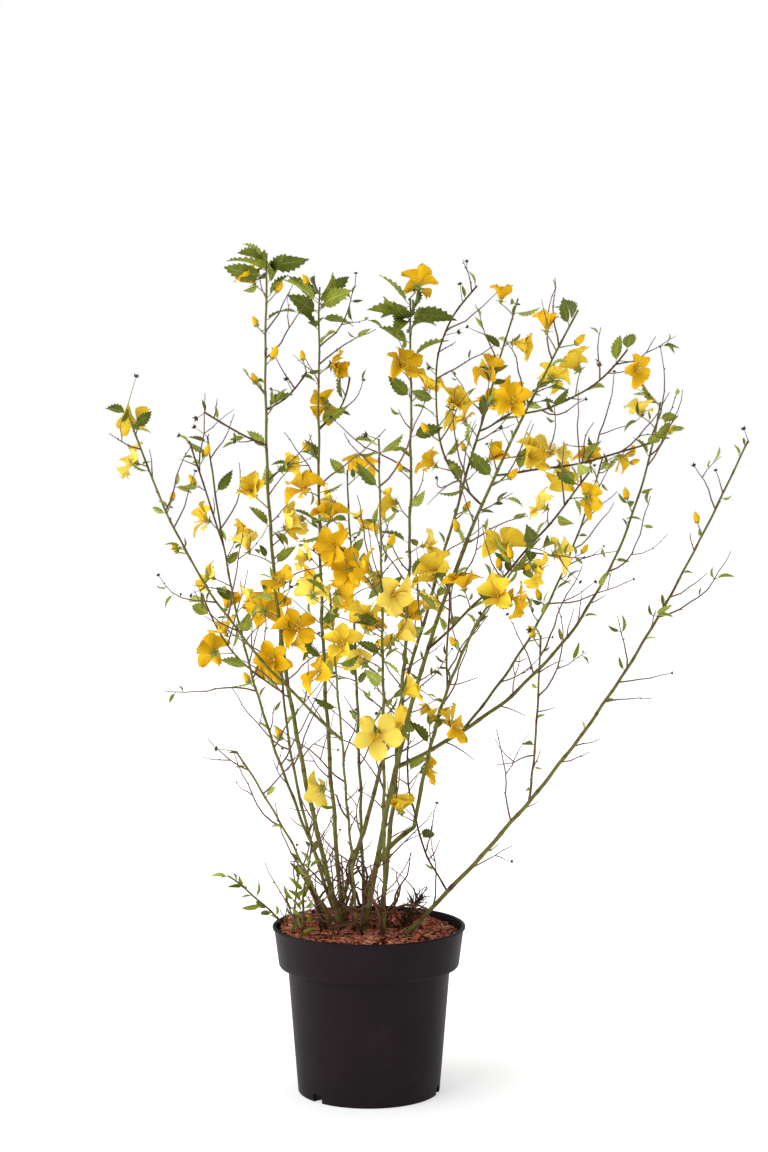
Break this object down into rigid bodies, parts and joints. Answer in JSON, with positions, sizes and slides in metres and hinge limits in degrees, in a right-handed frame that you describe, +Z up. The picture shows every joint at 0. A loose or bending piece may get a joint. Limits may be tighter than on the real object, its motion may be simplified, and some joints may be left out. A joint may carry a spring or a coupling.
{
  "type": "potted japanese kerria",
  "caption": "Deciduous shrub with slender arching green canes and single yellow five-petalled flowers, standing in a round tapered nursery pot filled with bark-mulched soil.",
  "frame": {"origin": "centre of the pot's flat underside", "axes": "+Z up, -Y towards the side the picture shows, +X to that side's right"},
  "size_m": [0.6104, 0.4769, 0.8257],
  "materials": {
    "pot": "satin charcoal, moulded",
    "soil": "rough, loose bark and fibre",
    "cane_bark": "smooth green bark",
    "dead_wood": "dry, split",
    "foliage": "matte leaves and petals"
  },
  "bodies": {
    "root": {"back_cane": "cane_bark", "back_cane_foliage": "foliage", "back_right_cane": "cane_bark", "back_right_cane_foliage": "foliage", "dead_stub_left": "dead_wood", "dead_stub_middle": "dead_wood", "dead_stub_right": "dead_wood", "elbow_cane": "cane_bark", "elbow_cane_foliage": "foliage", "elbow_cane_foot": "cane_bark", "far_left_bough": "cane_bark", "far_left_bough_foliage": "foliage", "front_cane": "cane_bark", "front_cane_foliage": "foliage", "front_left_cane": "cane_bark", "front_left_cane_foliage": "foliage", "front_low_sprig_foliage": "foliage", "front_right_side_foliage": "foliage", "inner_left_cane": "cane_bark", "inner_left_cane_foliage": "foliage", "inner_sucker_foliage": "foliage", "left_arching_cane": "cane_bark", "left_arching_cane_foliage": "foliage", "left_back_cane": "cane_bark", "left_back_cane_foliage": "foliage", "left_sucker_foliage": "foliage", "left_tall_cane": "cane_bark", "left_tall_cane_foliage": "foliage", "low_left_cane": "cane_bark", "low_left_cane_foliage": "foliage", "low_middle_sprig_foliage": "foliage", "low_right_cane": "cane_bark", "low_right_cane_foliage": "foliage", "main_right_cane": "cane_bark", "main_right_cane_foliage": "foliage", "middle_tall_cane": "cane_bark", "middle_tall_cane_foliage": "foliage", "pot": "pot", "right_bough": "cane_bark", "right_bough_foliage": "foliage", "right_inner_bough": "cane_bark", "right_inner_bough_foliage": "foliage", "rim_sprig_foliage": "foliage", "soil": "soil"}
  },
  "joints": []
}
